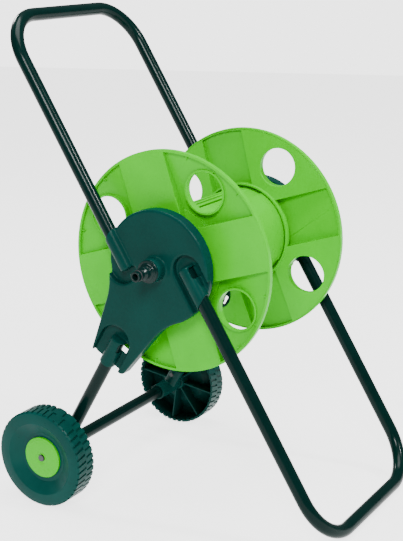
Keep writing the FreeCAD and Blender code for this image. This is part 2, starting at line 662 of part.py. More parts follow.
def barrel_panel(outer, angle, slotted):
    """A quarter of the barrel. The slotted ones lie under the edges of the plain ones."""
    shell = ring(outer, outer - PANEL_T, -HUB_DISC_IN, HUB_DISC_IN)
    wedge = rod(2.0 * outer, -HUB_DISC_IN - ODD, HUB_DISC_IN + ODD)
    big = 3.0 * outer
    keep = block(-HUB_DISC_IN - ODD, HUB_DISC_IN + ODD, -big, big, 0.0, big)
    wedge = wedge.common(turn(keep, -PANEL_HALF_ANGLE)).common(turn(keep, 180.0 + PANEL_HALF_ANGLE))
    panel = shell.common(wedge)
    if slotted:
        for k in range(SLOTS):
            cut = block(-SLOT_HALF, SLOT_HALF, 0.0, big, -SLOT_W / 2.0, SLOT_W / 2.0)
            panel = panel.cut(turn(cut, SLOT_PITCH * (k - (SLOTS - 1) / 2.0)))
    return turn(panel, angle)


def tie_bolts():
    bolts = []
    for angle in TIES:
        bolt = rod(TIE_R, -REEL_HALF - TIE_HEAD_H, REEL_HALF, TIE_AT, 0.0)
        head = shift(hexagon(TIE_HEAD_R * math.sqrt(3.0), REEL_HALF, REEL_HALF + TIE_HEAD_H), y=TIE_AT)
        bolts.append(turn(bolt.fuse(head), angle))
    return bolts


def tie_nuts():
    nuts = []
    for angle in TIES:
        nut = shift(hexagon(TIE_HEAD_R * math.sqrt(3.0), -REEL_HALF - TIE_HEAD_H, -REEL_HALF), y=TIE_AT)
        nut = nut.cut(rod(TIE_R, -REEL_HALF - TIE_HEAD_H - ODD, -REEL_HALF + ODD, TIE_AT, 0.0))
        nuts.append(turn(nut, angle))
    return nuts


# ---------------------------------------------------------------- water way
def nipple_profile(start):
    """Corners (radius, x) of a quick-connect nipple that points along +X from x = start."""
    end = start + NIPPLE_LENGTH
    latch = NIPPLE_R + LATCH_STEP
    waist = NIPPLE_R - WAIST_STEP
    groove = NIPPLE_R - GROOVE_STEP
    latch_in, latch_out, waist_in, waist_out, groove_in, groove_out = [
        end - step for step in NIPPLE_STEPS]
    return [
        (NIPPLE_R, start), (NIPPLE_R, latch_in), (latch, latch_in), (latch, latch_out),
        (waist, waist_in), (waist, waist_out), (NIPPLE_R, waist_out), (NIPPLE_R, groove_in),
        (groove, groove_in), (groove, groove_out), (NIPPLE_R, groove_out),
        (NIPPLE_R, end - NIPPLE_CHAMFER), (NIPPLE_R - NIPPLE_CHAMFER, end), (NIPPLE_BORE_R, end),
    ]


def nipple_seal(start):
    """The O-ring in the nipple's groove."""
    middle = start + NIPPLE_LENGTH - (NIPPLE_STEPS[4] + NIPPLE_STEPS[5]) / 2.0
    return o_ring(middle, NIPPLE_R - GROOVE_STEP, NIPPLE_R + NIPPLE_SEAL_PROUD)


def inlet_spigot():
    """The nipple that the tap's hose clicks onto, and the fixed tube that the reel turns on."""
    inner = SPIGOT_TUBE_R
    corners = [(NIPPLE_BORE_R, SPIGOT_IN), (inner, SPIGOT_IN)]
    for x in SEAL_PLACES:
        corners += [(inner, x - GROOVE_W / 2), (SEAL_GROOVE_R, x - GROOVE_W / 2)]
        corners += [(SEAL_GROOVE_R, x + GROOVE_W / 2), (inner, x + GROOVE_W / 2)]
    corners += [
        (inner, NUT_IN), (SHANK_R, NUT_IN), (SHANK_R, BOSS_END),
        (NIPPLE_COLLAR_R, BOSS_END), (NIPPLE_COLLAR_R, NIPPLE_START),
    ]
    return turned(corners + nipple_profile(NIPPLE_START))


def inlet_nut():
    flats = (RING_R - NUT_ROOM) * math.sqrt(3.0)
    return hexagon(flats, NUT_IN, PLATE_FACE_IN).cut(rod(SHANK_R, NUT_IN - ODD, PLATE_OUT))


def shaft_seals():
    return [o_ring(x, SEAL_GROOVE_R, SEAL_BORE_R - RUN) for x in SEAL_PLACES]


def to_outlet(shape):
    """Turns a piece that points along +X to point out of the barrel at the outlet's place."""
    copy = shape.copy()
    copy.rotate(CENTRE, Z_AXIS, 90.0)
    return turn(mirrored(shift(copy, x=ELBOW_AT)), BANDS[3])


def water_elbow():
    """Turns with the reel: takes the water from the inlet and out through the barrel."""
    base = BARREL_R + ODD
    body = turn(mirrored(rod(STUB_BORE_R, ELBOW_AT - STUB_BORE_R, STUB_END - ODD)), BANDS[3])
    tip = turned(nipple_profile(base) + [(NIPPLE_BORE_R, base)])
    spout = to_outlet(fuse([rod(NIPPLE_R + ELBOW_STEP, 0.0, base), tip]))
    elbow = fuse([body, spout]).cut(to_outlet(rod(NIPPLE_BORE_R, 0.0, base + ODD)))
    elbow = elbow.cut(mirrored(rod(NIPPLE_BORE_R, ELBOW_AT, STUB_END)))
    return elbow.cut(mirrored(rod(SEAL_BORE_R, SPIGOT_IN - GAP, STUB_END)))


def outlet_hole():
    """The hole that the water elbow's spout comes through, in the back panel."""
    return to_outlet(rod(NIPPLE_R + ELBOW_STEP + GAP, 0.0, 2.0 * BARREL_R))


# ---------------------------------------------------------------- crank
def crank_shaft():
    shaft = rod(STUB_BORE_R, HUB_DISC_IN, CRANK_HUB_IN - ODD)
    half = SQUARE / 2.0
    shaft = shaft.fuse(block(CRANK_HUB_IN - ODD, CRANK_SHAFT_END, -half, half, -half, half))
    shaft = shaft.cut(rod(CRANK_SCREW_R, CRANK_HUB_IN, CRANK_SHAFT_END + ODD))
    return turn(shaft.cut(drive_pin()), CRANK_ANGLE)


def drive_pin():
    """The cross pin that locks the crank's shaft in the right flange."""
    start = FreeCAD.Vector(DRIVE_PIN_AT, 0, -SHOULDER_R)
    return Part.makeCylinder(DRIVE_PIN_R, 2.0 * SHOULDER_R, start, Z_AXIS)


def crank_arm():
    arm = block(ARM_IN, ARM_OUT, 0.0, CRANK_LENGTH, -ARM_HUB_HALF, ARM_HUB_HALF)
    taper = math.degrees(math.atan2(ARM_HUB_HALF - ARM_TIP_R, CRANK_LENGTH))
    for way in (1.0, -1.0):
        side = block(ARM_IN - ODD, ARM_OUT + ODD, -CRANK_LENGTH, 2.0 * CRANK_LENGTH, 0.0, CRANK_LENGTH)
        side.rotate(CENTRE, X_AXIS, -taper)
        side = shift(side, z=ARM_HUB_HALF)
        if way < 0:
            side = side.mirror(CENTRE, Z_AXIS)
        arm = arm.cut(side)
    half = SQUARE / 2.0
    tip = rod(ARM_TIP_R, ARM_IN, ARM_OUT, CRANK_LENGTH)
    arm = fuse([arm, tip, rod(CRANK_HUB_R, CRANK_HUB_IN, CRANK_HUB_END)])
    arm = arm.cut(block(CRANK_HUB_IN - ODD, CRANK_SHAFT_END, -half, half, -half, half))
    arm = arm.cut(rod(CRANK_SCREW_R, CRANK_HUB_IN, CRANK_HUB_END + ODD))
    arm = arm.cut(rod(PIN_R, ARM_IN - ODD, ARM_OUT + ODD, CRANK_LENGTH))
    return turn(arm, CRANK_ANGLE)


def crank_screw():
    head = rod(CRANK_SCREW_HEAD_R, CRANK_HUB_END, CRANK_HUB_END + CRANK_SCREW_HEAD_H)
    return head.fuse(rod(CRANK_SCREW_R, CRANK_HUB_IN + ODD, CRANK_HUB_END))


def knob_pin():
    head = KNOB_END - PIN_HEAD_H
    pin = turned([
        (0.0, ARM_IN - RIVET_H), (RIVET_R, ARM_IN - RIVET_H), (RIVET_R, ARM_IN), (PIN_R, ARM_IN),
        (PIN_R, head), (PIN_HEAD_R, head), (PIN_HEAD_R, KNOB_END), (0.0, KNOB_END),
    ])
    return turn(shift(pin, y=CRANK_LENGTH), CRANK_ANGLE)


def crank_knob():
    seat = KNOB_END - PIN_HEAD_H - GAP
    recess_r = PIN_HEAD_R + GAP
    knob = turned([
        (PIN_R + RUN, KNOB_IN), (KNOB_FOOT_R, KNOB_IN), (KNOB_FOOT_R, KNOB_IN + KNOB_FOOT),
        (KNOB_NECK_R, KNOB_IN + KNOB_NECK_AT), (KNOB_SIDE_R, KNOB_IN + KNOB_SIDE_AT),
        (KNOB_R, KNOB_IN + KNOB_BELLY_AT), (KNOB_SIDE_R, KNOB_END - KNOB_CROWN),
        (KNOB_TOP_R, KNOB_END), (recess_r, KNOB_END), (recess_r, seat), (PIN_R + RUN, seat),
    ])
    return turn(shift(knob, y=CRANK_LENGTH), CRANK_ANGLE)


# ---------------------------------------------------------------- axle and wheels
def at_axle(shape):
    """Moves a piece that was modelled about the reel's axis to the wheels' axle."""
    return shift(shape, y=AXLE_BACK, z=-AXLE_DOWN)


def axle_tube():
    tube = ring(TUBE_R, TUBE_R - TUBE_WALL, -AXLE_TUBE_END, AXLE_TUBE_END)
    for x in (-CONNECTOR_SCREW_X, CONNECTOR_SCREW_X):
        tube = tube.cut(Part.makeCylinder(SCREW_R, CONNECTOR_R, FreeCAD.Vector(x, 0, 0), Y_AXIS))
    return at_axle(tube)


def axle_connector():
    """Plastic tee that joins a wheel leg to the axle tube."""
    leg = along(SOCKET_R, LEG_SLEEVE_MOUTH, AXLE_AT, FRAME_X, 0.0)
    boss = rod(SCREW_BOSS_R, SOCKET_IN - SCREW_BOSS_H, FRAME_X, LOW_SCREW_AT)
    body = at_axle(rod(CONNECTOR_R, CONNECTOR_IN, CONNECTOR_OUT))
    tee = fuse([body, turn(leg, LEG_TURN), turn(boss, LEG_TURN)])
    tee = tee.cut(at_axle(rod(TUBE_R, CONNECTOR_IN - ODD, AXLE_TUBE_END)))
    tee = tee.cut(at_axle(rod(ROD_R, CONNECTOR_IN, CONNECTOR_OUT + ODD)))
    tee = tee.cut(turn(along(TUBE_R, LEG_SLEEVE_MOUTH - ODD, LEG_TUBE_END, FRAME_X, 0.0), LEG_TURN))
    tee = tee.cut(turn(screw_bore(LOW_SCREW_AT, 0.0), LEG_TURN))
    place = FreeCAD.Vector(CONNECTOR_SCREW_X, 0, 0)
    side_bore = Part.makeCylinder(SCREW_R, 2 * CONNECTOR_R, place, Y_AXIS)
    return tee.cut(at_axle(side_bore))


def connector_screws():
    """Two screws for each connector: one into the wheel leg, one into the axle tube."""
    up = turn(screw(SOCKET_IN - SCREW_BOSS_H, LOW_SCREW_AT, 0.0), LEG_TURN)
    back = screw(0.0, 0.0, 0.0, CONNECTOR_R - ROD_R - GAP)
    back.rotate(CENTRE, Z_AXIS, -90.0)
    back = at_axle(shift(back, x=CONNECTOR_SCREW_X, y=CONNECTOR_R))
    return [up, back, mirrored(up), mirrored(back)]


def axle_rod():
    return at_axle(rod(ROD_R, -ROD_END, ROD_END))


def axle_washers():
    washer = at_axle(ring(ROD_R + WASHER_RIM, ROD_R, CONNECTOR_OUT, CONNECTOR_OUT + WASHER_T))
    return [washer, mirrored(washer)]


def push_nuts():
    nut = at_axle(ring(ROD_R + PUSH_NUT_RIM, ROD_R, PUSH_NUT_IN, PUSH_NUT_IN + PUSH_NUT_T))
    return [nut, mirrored(nut)]


def wheel():
    tread_in = WHEEL_R - TREAD_T
    rib_r = WHEEL_R - TREAD_T / 2.0
    rib_out = WHEEL_OUT - WHEEL_T / 2.0
    dish_mid = DISH_FLOOR - WHEEL_T / 2.0
    skin = turned([
        (tread_in, WHEEL_IN), (WHEEL_R, WHEEL_IN), (WHEEL_R, WHEEL_OUT - SHOULDER),
        (WHEEL_R - SHOULDER, WHEEL_OUT), (DISH_R, WHEEL_OUT), (DISH_FLOOR_R, DISH_FLOOR),
        (WHEEL_HUB_R - ODD, DISH_FLOOR), (WHEEL_HUB_R - ODD, DISH_FLOOR - WHEEL_T),
        (DISH_FLOOR_R + WHEEL_T, DISH_FLOOR - WHEEL_T), (DISH_R + WHEEL_T, WHEEL_OUT - WHEEL_T),
        (tread_in, WHEEL_OUT - WHEEL_T),
    ])
    pieces = [skin, rod(WHEEL_HUB_R, WHEEL_IN, WHEEL_HUB_END)]
    rib = turned([
        (WHEEL_HUB_R - ODD, WHEEL_IN + WHEEL_T), (rib_r, WHEEL_IN + WHEEL_T),
        (rib_r, rib_out), (DISH_R + WHEEL_T, rib_out),
        (DISH_FLOOR_R + WHEEL_T, dish_mid), (WHEEL_HUB_R - ODD, dish_mid),
    ])
    for k in range(WHEEL_RIBS):
        strip = block(WHEEL_IN, WHEEL_OUT, 0.0, WHEEL_R, -WHEEL_RIB_T / 2.0, WHEEL_RIB_T / 2.0)
        pieces.append(rib.common(turn(strip, 360.0 * k / WHEEL_RIBS + WHEEL_RIB_TURN)))
    body = fuse(pieces)
    return at_axle(body.cut(rod(ROD_R + RUN, WHEEL_IN - ODD, WHEEL_OUT)))


def hub_cap():
    """Snap-on cap over the wheel's dish, with a hole for the end of the axle rod."""
    skirt = CAP_R - CAP_SKIRT_T
    cap = turned([
        (ROD_R + GAP, CAP_IN), (skirt, CAP_IN), (skirt, DISH_FLOOR), (CAP_R, DISH_FLOOR),
        (CAP_R, CAP_OUT - CAP_EDGE), (CAP_R - CAP_EDGE, CAP_OUT), (ROD_R + GAP, CAP_OUT),
    ])
    return at_axle(cap)


# ---------------------------------------------------------------- assembly
def place_offset():
    """From the reel's centre to the floor, under the middle of the cart's box."""
    back = max(AXLE_BACK + WHEEL_R, SLOPE_COS * HANDLE_REACH + SLOPE_SIN * TUBE_OFFSET + TUBE_R)
    front = -SLOPE_COS * FOOT_REACH - SLOPE_SIN * TUBE_OFFSET - TUBE_R
    right = max(KNOB_END, WHEEL_OUT)
    left = -max(SPIGOT_END, WHEEL_OUT)
    return FreeCAD.Vector(-(left + right) / 2.0, -(front + back) / 2.0, REEL_HEIGHT)


def pieces():
    plain = BARREL_R
    slotted = BARREL_R - PANEL_T
    flange = reel_flange()
    right_flange = flange.cut(turn(drive_pin(), CRANK_ANGLE))
    back_panel = barrel_panel(plain, BANDS[3], False)
    leg = leg_tube()
    tee = axle_connector()
    bush = hub_bush()
    disc = wheel()
    cap = hub_cap()
    right_screws = socket_screws()
    return {
        "handle_tube": handle_tube(),
        "foot_tube": foot_tube(),
        "leg_tube_left": mirrored(leg),
        "leg_tube_right": leg,
        "side_plate_left": mirrored(side_plate(True)),
        "side_plate_right": side_plate(False),
        "socket_screws_left": [mirrored(one) for one in right_screws],
        "socket_screws_right": right_screws,
        "hub_bush_left": mirrored(bush),
        "hub_bush_right": bush,
        "axle_tube": axle_tube(),
        "axle_connector_left": mirrored(tee),
        "axle_connector_right": tee,
        "connector_screws": connector_screws(),
        "axle_rod": axle_rod(),
        "axle_washers": axle_washers(),
        "push_nuts": push_nuts(),
        "wheel_left": mirrored(disc),
        "wheel_right": disc,
        "hub_cap_left": mirrored(cap),
        "hub_cap_right": cap,
        "reel_flange_left": mirrored(flange),
        "reel_flange_right": right_flange,
        "barrel_panel_top": barrel_panel(slotted, BANDS[0], True),
        "barrel_panel_front": barrel_panel(plain, BANDS[1], False),
        "barrel_panel_bottom": barrel_panel(slotted, BANDS[2], True),
        "barrel_panel_back": back_panel.cut(outlet_hole()),
        "tie_bolts": tie_bolts(),
        "tie_nuts": tie_nuts(),
        "inlet_spigot": mirrored(inlet_spigot()),
        "inlet_nut": mirrored(inlet_nut()),
        "inlet_seal": mirrored(nipple_seal(NIPPLE_START)),
        "shaft_seals": [mirrored(one) for one in shaft_seals()],
        "water_elbow": water_elbow(),
        "outlet_seal": to_outlet(nipple_seal(BARREL_R + ODD)),
        "crank_shaft": crank_shaft(),
        "drive_pin": turn(drive_pin(), CRANK_ANGLE),
        "crank_arm": crank_arm(),
        "crank_screw": crank_screw(),
        "knob_pin": knob_pin(),
        "crank_knob": crank_knob(),
    }


def main():
    os.makedirs("parts", exist_ok=True)
    offset = place_offset()
    print("reel centre at", [round(value, 3) for value in offset])
    for name, shape in pieces().items():
        group = shape if isinstance(shape, list) else [shape]
        solids = [solid for one in group for solid in one.Solids]
        if len(solids) != len(group) or not all(solid.isValid() for solid in solids):
            raise ValueError(name + " is not one valid solid for each piece")
        node = Part.makeCompound(solids) if len(solids) > 1 else solids[0]
        node.translate(offset)
        node.exportStep("parts/" + name + ".step")
        print(name, len(solids), round(sum(solid.Volume for solid in solids) / 1000.0, 2), "cm3")


main()
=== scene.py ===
"""Garden hose reel cart: the looks of every piece, built around the cart's CAD model."""

import json
import math

import bmesh
import bpy
from bpy.props import FloatProperty, FloatVectorProperty, IntProperty
from mathutils import Matrix, Vector


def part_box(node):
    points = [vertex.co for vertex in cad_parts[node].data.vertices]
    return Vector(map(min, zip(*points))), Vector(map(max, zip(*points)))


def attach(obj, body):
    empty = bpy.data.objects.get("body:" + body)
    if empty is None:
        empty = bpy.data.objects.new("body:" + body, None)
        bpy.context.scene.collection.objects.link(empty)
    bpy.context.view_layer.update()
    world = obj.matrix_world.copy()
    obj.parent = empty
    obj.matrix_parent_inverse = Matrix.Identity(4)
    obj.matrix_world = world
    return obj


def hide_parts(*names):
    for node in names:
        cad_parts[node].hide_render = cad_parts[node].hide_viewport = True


bl_info = {
    "name": "Garden hose reel cart",
    "version": (1, 0, 0),
    "blender": (4, 5, 0),
    "location": "3D View > Sidebar > Reel cart",
    "description": "Moulded plastic, painted tube, wheels and fittings of a hose reel cart",
    "category": "Object",
}

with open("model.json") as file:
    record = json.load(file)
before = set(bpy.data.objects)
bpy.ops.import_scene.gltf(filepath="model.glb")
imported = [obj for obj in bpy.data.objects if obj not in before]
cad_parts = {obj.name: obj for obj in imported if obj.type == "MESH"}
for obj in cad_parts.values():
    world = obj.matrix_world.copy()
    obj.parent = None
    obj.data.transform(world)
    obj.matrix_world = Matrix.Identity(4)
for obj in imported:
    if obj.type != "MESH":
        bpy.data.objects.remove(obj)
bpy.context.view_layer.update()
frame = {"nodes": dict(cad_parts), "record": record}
MM = 0.001
SIDES = (("left", -1.0), ("right", 1.0))


# ---------------------------------------------------------------- places read from the CAD model
def middle(node):
    """The middle of a CAD piece's box."""
    low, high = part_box(node)
    return (low + high) / 2.0


def reach(node, axis=0):
    """Lowest and highest coordinate of a CAD piece along one axis."""
    low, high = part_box(node)
    return low[axis], high[axis]


REEL = middle("reel_flange_left")
REEL.x = (reach("reel_flange_left")[0] + reach("reel_flange_right")[1]) / 2.0
AXLE = middle("axle_tube")


# ---------------------------------------------------------------- sizes and colours
class ReelCartColours(bpy.types.PropertyGroup):
    """Colours of the cart's materials."""

    lime: FloatVectorProperty(
        name="Lime plastic", description="Reel flanges, barrel and wheel caps",
        default=(0.026, 0.315, 0.0), subtype="COLOR", min=0.0, max=1.0)
    green: FloatVectorProperty(
        name="Dark green plastic", description="Side plates, connectors and water fitting",
        default=(0.0, 0.021, 0.017), subtype="COLOR", min=0.0, max=1.0)
    paint: FloatVectorProperty(
        name="Tube paint", description="Gloss paint on the steel tubes",
        default=(0.0, 0.0068, 0.0056), subtype="COLOR", min=0.0, max=1.0)
    wheel: FloatVectorProperty(
        name="Wheel plastic", description="Wheels and their tread",
        default=(0.0, 0.029, 0.0240), subtype="COLOR", min=0.0, max=1.0)


class ReelCartSizes(bpy.types.PropertyGroup):
    """Sizes of the finer shapes that the CAD model leaves plain."""

    plate_edge: FloatProperty(
        name="Side plate edge", description="Rounding of the side plate's front edge",
        default=0.0032, unit="LENGTH", min=0.0005, max=0.005)
    mould_edge: FloatProperty(
        name="Moulded edge", description="Rounding of the other moulded edges",
        default=0.0006, unit="LENGTH", min=0.0001, max=0.002)
    tread_depth: FloatProperty(
        name="Tread depth", description="Depth of the grooves in the wheels' tread",
        default=0.0019, unit="LENGTH", min=0.0005, max=0.004)
    tread_pitches: IntProperty(
        name="Tread blocks", description="Number of blocks round each row of the tread",
        default=46, min=24, max=90)


def colours():
    return bpy.context.scene.reel_cart_colours


def sizes():
    return bpy.context.scene.reel_cart_sizes


# ---------------------------------------------------------------- materials
NOISE_RANGE = (0.3, 0.7)        # the values between which most of a noise texture lies
GLOSS_FINENESS = 4.0            # how much finer the uneven gloss is than the drifting colour
BUMP_STRENGTH = 0.35

# Material name, colour (or the name of a colour setting), and the numbers that finish_of takes.
FINISHES = {
    "lime_plastic": ("lime_moulding", "lime", dict(
        shade=0.05, rough=0.30, rough_span=0.05, grain=0.00004, grain_scale=900.0, specular=0.10)),
    "dark_green_plastic": ("dark_green_moulding", "green", dict(
        shade=0.10, rough=0.27, rough_span=0.05, grain=0.00005, grain_scale=1100.0, specular=0.045)),
    "tube_paint": ("gloss_tube_paint", "paint", dict(
        shade=0.12, rough=0.20, rough_span=0.03, grain=0.000004, grain_scale=420.0, specular=0.07)),
    "wheel_plastic": ("wheel_moulding", "wheel", dict(
        shade=0.12, rough=0.34, rough_span=0.07, grain=0.00008, grain_scale=1300.0, specular=0.055)),
    "fitting_plastic": ("fitting_moulding", (0.0, 0.0075, 0.0065), dict(
        shade=0.10, rough=0.24, rough_span=0.05, grain=0.00003, grain_scale=1100.0, specular=0.14)),
    "knob_plastic": ("knob_moulding", (0.006, 0.009, 0.009), dict(
        shade=0.15, rough=0.40, rough_span=0.07, grain=0.00008, grain_scale=1000.0, specular=0.12)),
    "bush_plastic": ("natural_nylon", (0.72, 0.70, 0.64), dict(
        shade=0.06, rough=0.45, rough_span=0.06, grain=0.00004, grain_scale=900.0)),
    "zinc_steel": ("zinc_plate", (0.42, 0.43, 0.44), dict(
        shade=0.10, rough=0.34, rough_span=0.10, grain=0.00004, grain_scale=1500.0, metallic=1.0)),
    "dark_steel": ("blackened_steel", (0.055, 0.058, 0.058), dict(
        shade=0.15, rough=0.42, rough_span=0.08, grain=0.00004, grain_scale=1500.0, metallic=1.0)),
    "seal_rubber": ("black_rubber", (0.012, 0.012, 0.013), dict(
        shade=0.15, rough=0.55, rough_span=0.08, grain=0.00004, grain_scale=900.0, specular=0.2)),
    "floor": ("pale_floor", (0.3, 0.3, 0.3), dict(
        shade=0.01, rough=0.8, rough_span=0.02, grain=0.00001, grain_scale=60.0, drift=2.0, specular=0.0)),
}


def noise(tree, place, scale, detail):
    """The value of a noise texture that is fixed to the piece's own coordinates."""
    texture = tree.nodes.new("ShaderNodeTexNoise")
    texture.inputs["Scale"].default_value = scale
    texture.inputs["Detail"].default_value = detail
    tree.links.new(place.outputs["Object"], texture.inputs["Vector"])
    return texture.outputs["Fac"]


def finish_of(
        name, colour, shade, rough, rough_span, grain, grain_scale, drift=22.0, metallic=0.0, specular=0.5):
    """A material with drifting colour, uneven gloss and fine surface grain.

    shade is how much darker and lighter the colour drifts; grain is the depth of the bumps.
    """
    material = bpy.data.materials.new(name)
    material.use_nodes = True
    material.diffuse_color = (*colour, 1.0)
    tree = material.node_tree
    shader = tree.nodes["Principled BSDF"]
    shader.inputs["Metallic"].default_value = metallic
    shader.inputs["Specular IOR Level"].default_value = specular
    place = tree.nodes.new("ShaderNodeTexCoord")
    ramp = tree.nodes.new("ShaderNodeValToRGB")
    dark, light = ramp.color_ramp.elements
    dark.position, light.position = NOISE_RANGE
    dark.color = (*[c * (1.0 - shade) for c in colour], 1.0)
    light.color = (*[min(1.0, c * (1.0 + shade)) for c in colour], 1.0)
    tree.links.new(noise(tree, place, drift, 3.0), ramp.inputs["Fac"])
    tree.links.new(ramp.outputs["Color"], shader.inputs["Base Color"])
    gloss = tree.nodes.new("ShaderNodeMapRange")
    gloss.inputs["From Min"].default_value, gloss.inputs["From Max"].default_value = NOISE_RANGE
    gloss.inputs["To Min"].default_value = rough - rough_span
    gloss.inputs["To Max"].default_value = rough + rough_span
    tree.links.new(noise(tree, place, drift * GLOSS_FINENESS, 4.0), gloss.inputs["Value"])
    tree.links.new(gloss.outputs["Result"], shader.inputs["Roughness"])
    bump = tree.nodes.new("ShaderNodeBump")
    bump.inputs["Strength"].default_value = BUMP_STRENGTH
    bump.inputs["Distance"].default_value = grain
    tree.links.new(noise(tree, place, grain_scale, 2.0), bump.inputs["Height"])
    tree.links.new(bump.outputs["Normal"], shader.inputs["Normal"])
    return material


def finish(slot):
    """The slot's material, made when it is first asked for."""
    name, colour, numbers = FINISHES[slot]
    if name in bpy.data.materials:
        return bpy.data.materials[name]
    if isinstance(colour, str):
        colour = tuple(getattr(colours(), colour))
    return finish_of(name, colour, **numbers)


# ---------------------------------------------------------------- making and keeping a piece
SHARP_FROM = math.radians(32.0)         # edges sharper than this stay crisp
MERGE_DISTANCE = 2e-6
FLAT_WITHIN = math.radians(0.6)         # faces this close to one plane become one face


def keep(bm, name, body, slot, *stands_for):
    """Turns a finished bmesh into a piece that rides on a body."""
    bmesh.ops.recalc_face_normals(bm, faces=bm.faces)
    mesh = bpy.data.meshes.new(name)
    bm.to_mesh(mesh)
    bm.free()
    mesh.shade_smooth()
    mesh.set_sharp_from_angle(angle=SHARP_FROM)
    piece = bpy.data.objects.new(name, mesh)
    bpy.context.scene.collection.objects.link(piece)
    mesh.materials.append(finish(slot))
    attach(piece, body)
    if stands_for:
        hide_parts(*stands_for)
    return piece


def body_of(node_name):
    """The body that a CAD piece moves with."""
    for body, members in frame["record"]["behaviour"]["bodies"].items():
        if node_name in members:
            return body
    raise KeyError(node_name)


def merged(node_name):
    """A bmesh copy of a CAD piece, with its doubled corners merged."""
    bm = bmesh.new()
    bm.from_mesh(frame["nodes"][node_name].data)
    bmesh.ops.remove_doubles(bm, verts=bm.verts, dist=MERGE_DISTANCE)
    return bm


def cad_copy(node_name):
    """A merged copy of a CAD piece, with its flat faces made whole again."""
    bm = merged(node_name)
    bmesh.ops.dissolve_limit(
        bm, angle_limit=FLAT_WITHIN, verts=bm.verts, edges=bm.edges, use_dissolve_boundaries=False)
    return bm


def fresh_verts(made):
    """The corners among the geometry that an operator made."""
    return [part for part in made["geom"] if isinstance(part, bmesh.types.BMVert)]


def soften(bm, angle, width, segments=2):
    """Bevels every edge that is sharper than the angle."""
    edges = [
        edge for edge in bm.edges
        if len(edge.link_faces) == 2 and edge.calc_face_angle(0.0) >= angle]
    bmesh.ops.bevel(
        bm, geom=edges, offset=width, offset_type="OFFSET", segments=segments, profile=0.5,
        affect="EDGES", clamp_overlap=False, material=-1)


def spun(corners, steps, centre=(0.0, 0.0, 0.0)):
    """A closed solid of revolution about X, from a ring of (x, radius, rounding) corners."""
    bm = bmesh.new()
    verts = [bm.verts.new((x, 0.0, radius)) for x, radius in rounded(corners)]
    edges = [bm.edges.new((verts[i], verts[(i + 1) % len(verts)])) for i in range(len(verts))]
    bmesh.ops.spin(
        bm, geom=verts + edges, cent=(0.0, 0.0, 0.0), axis=(1.0, 0.0, 0.0), angle=math.tau, steps=steps,
        use_merge=True)
    bmesh.ops.remove_doubles(bm, verts=bm.verts, dist=1e-7)
    bmesh.ops.translate(bm, verts=bm.verts, vec=centre)
    return bm


ARC_STEPS = 3
NEARLY_STRAIGHT = math.radians(88.0)    # half of an angle that needs no arc
ARC_SHARE = 0.45                        # most of a ring's side that one arc takes up


def rounded(corners):
    """The ring's (x, radius) points, with an arc at each corner whose rounding is above zero."""
    ring = []
    for i, (x, radius, bend) in enumerate(corners):
        here = Vector((x, radius))
        before = Vector(corners[i - 1][:2]) - here
        after = Vector(corners[(i + 1) % len(corners)][:2]) - here
        half = before.angle(after) / 2.0
        if bend <= 0.0 or half > NEARLY_STRAIGHT:
            ring.append(tuple(here))
            continue
        back = min(bend / math.tan(half), ARC_SHARE * before.length, ARC_SHARE * after.length)
        start = here + before.normalized() * back
        end = here + after.normalized() * back
        for k in range(ARC_STEPS + 1):
            t = k / ARC_STEPS
            ring.append(tuple(start * (1 - t) ** 2 + here * 2 * t * (1 - t) + end * t ** 2))
    return ring


def put(bm, x, side, about=AXLE):
    """Moves a solid made at the origin to its place on an axis, turned over on the left side."""
    place = Matrix.Translation((x, about.y, about.z)) @ Matrix.Diagonal((side, 1.0, 1.0, 1.0))
    bmesh.ops.transform(bm, matrix=place, verts=bm.verts)


# ---------------------------------------------------------------- stage
WHITE = (1.0, 1.0, 1.0, 1.0)
AIR_STRENGTH = 0.35             # light that the air gives to the cart
BACKDROP_STRENGTH = 3.3         # brightness of the air behind the cart
FLOOR_HALF = 6.0
FLOOR_DROP = 0.0004             # keeps the floor clear of the wheels' lowest points
FLOOR_GLOW = 2.7
LAMPS = (
    # name, place, size, power
    ("top_light", (0.0, -0.1, 3.0), 1.8, 150.0),
    ("key_light", (-2.1, -1.0, 1.9), 0.7, 120.0),
    ("edge_light", (0.3, -2.2, 2.3), 0.2, 85.0),
    ("back_light", (0.8, 2.2, 1.9), 0.5, 40.0),
)
CAMERA_LENS = 80.98
CAMERA_SENSOR = 36.0
CAMERA_CLIP = (0.05, 30.0)
CAMERA_BACK = (-0.8219, -0.5113, 0.2511)        # direction from the scene to the camera
CAMERA_FROM_REEL = (-1.5457, -0.9419, 0.4302)
CAMERA_ROLL = math.radians(-2.0)


class ReelCartStage(bpy.types.Operator):
    """Floor, soft studio light and camera."""

    bl_idname = "reel_cart.stage"
    bl_label = "Stage and camera"

    def execute(self, context):
        light_air(context.scene)
        lay_floor(context.scene)
        hang_lamps(context.scene)
        set_camera(context.scene)
        return {"FINISHED"}


def light_air(scene):
    """Soft light all round, which the camera sees as a bright white backdrop."""
    world = bpy.data.worlds.new("studio_air")
    world.use_nodes = True
    nodes, links = world.node_tree.nodes, world.node_tree.links
    air = nodes["Background"]
    air.inputs["Color"].default_value = WHITE
    air.inputs["Strength"].default_value = AIR_STRENGTH
    behind = nodes.new("ShaderNodeBackground")
    behind.inputs["Color"].default_value = WHITE
    behind.inputs["Strength"].default_value = BACKDROP_STRENGTH
    seen = nodes.new("ShaderNodeLightPath")
    either = nodes.new("ShaderNodeMixShader")
    links.new(seen.outputs["Is Camera Ray"], either.inputs[0])
    links.new(air.outputs[0], either.inputs[1])
    links.new(behind.outputs[0], either.inputs[2])
    links.new(either.outputs[0], nodes["World Output"].inputs[0])
    scene.world = world


